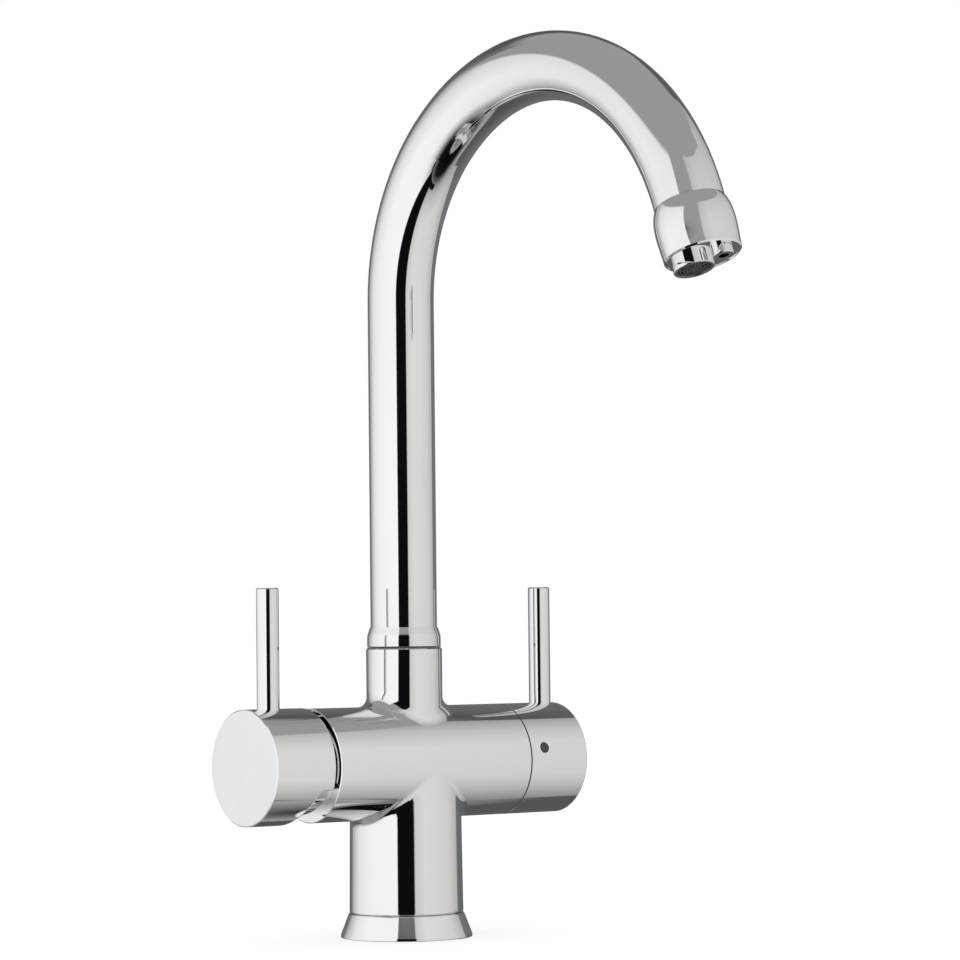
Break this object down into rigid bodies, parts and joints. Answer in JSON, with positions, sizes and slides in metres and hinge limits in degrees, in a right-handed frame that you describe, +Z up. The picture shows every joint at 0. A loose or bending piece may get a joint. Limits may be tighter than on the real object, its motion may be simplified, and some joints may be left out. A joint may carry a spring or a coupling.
{
  "type": "kitchen tap",
  "caption": "Chrome kitchen tap with a tall swan-neck spout, a mixer handle and a filtered-water handle on a cross tube, and a spout head that holds an aerator and a separate small nozzle.",
  "frame": {"origin": "the fixing stud's hole, on the column's axis, at the underside that rests on the worktop", "axes": "+Z up the column, -Y to the front along the spout, -X towards the mixer handle, +X towards the filtered-water handle"},
  "size_m": [0.1622, 0.2351, 0.3694],
  "materials": {
    "chrome": "mirror polished",
    "brass": "machined",
    "steel": "plain",
    "ceramic": "lapped",
    "rubber": "matt",
    "white_plastic": "moulded",
    "grey_plastic": "moulded",
    "dark_plastic": "moulded"
  },
  "bodies": {
    "tap_body": {"body": "chrome", "base_ring": "chrome", "base_seal": "rubber", "spout_glide_ring": "white_plastic", "spout_retaining_screw": "steel", "cartridge_base": "white_plastic", "cartridge_port_seals": "rubber", "cartridge_fixed_disc": "ceramic", "cartridge_housing": "white_plastic", "cartridge_nut": "brass", "cartridge_cover": "chrome", "selector_seat_seal": "rubber", "selector_fixed_disc": "ceramic", "selector_housing": "brass", "selector_body_seal": "rubber"},
    "mixer_rotor": {"cartridge_carrier": "grey_plastic", "pivot_pin": "steel"},
    "mixer_disc": {"disc_driver": "grey_plastic", "mixer_moving_disc": "ceramic"},
    "mixer_handle_group": {"mixer_handle": "chrome", "mixer_lever": "chrome", "cartridge_stem": "steel", "mixer_grub_screw": "steel", "mixer_screw_plug": "dark_plastic"},
    "filter_handle_group": {"filter_handle": "chrome", "filter_lever": "chrome", "filter_grub_screw": "steel", "filter_screw_plug": "dark_plastic", "spline_adaptor": "grey_plastic", "selector_spindle": "brass", "selector_moving_disc": "ceramic", "spindle_seals": "rubber", "spindle_clip": "steel"},
    "spout": {"spout_tube": "chrome", "spout_head": "chrome", "spout_collar": "chrome", "spout_spigot": "brass", "spigot_seals": "rubber", "spigot_guide": "white_plastic", "filtered_water_tube": "white_plastic", "aerator_housing": "chrome", "aerator_insert": "white_plastic", "aerator_screen": "steel", "aerator_washer": "rubber", "filtered_nozzle": "chrome", "nozzle_washer": "rubber"}
  },
  "joints": [
    {"name": "spout_swivel", "type": "hinge", "parent": "tap_body", "child": "spout", "pos_m": [0, 0, 0.1208], "axis": [0, 0, 1], "continuous": true},
    {"name": "mixer_temperature", "type": "hinge", "parent": "tap_body", "child": "mixer_rotor", "pos_m": [-0.063, 0, 0.073], "axis": [1, 0, 0], "range_deg": [-45, 45]},
    {"name": "mixer_flow", "type": "hinge", "parent": "mixer_rotor", "child": "mixer_handle_group", "pos_m": [-0.063, 0, 0.073], "axis": [0, -1, 0], "range_deg": [0, 20]},
    {"name": "mixer_disc_slide", "type": "slide", "parent": "mixer_rotor", "child": "mixer_disc", "axis": [0, 0, 1], "range_m": [0, 0.00337]},
    {"name": "filter_select", "type": "hinge", "parent": "tap_body", "child": "filter_handle_group", "pos_m": [0.065, 0, 0.073], "axis": [1, 0, 0], "range_deg": [-90, 90]}
  ],
  "couplings": [
    {"joint": "mixer_disc_slide", "follows": "mixer_flow", "m_per_rad": 0.00965}
  ]
}
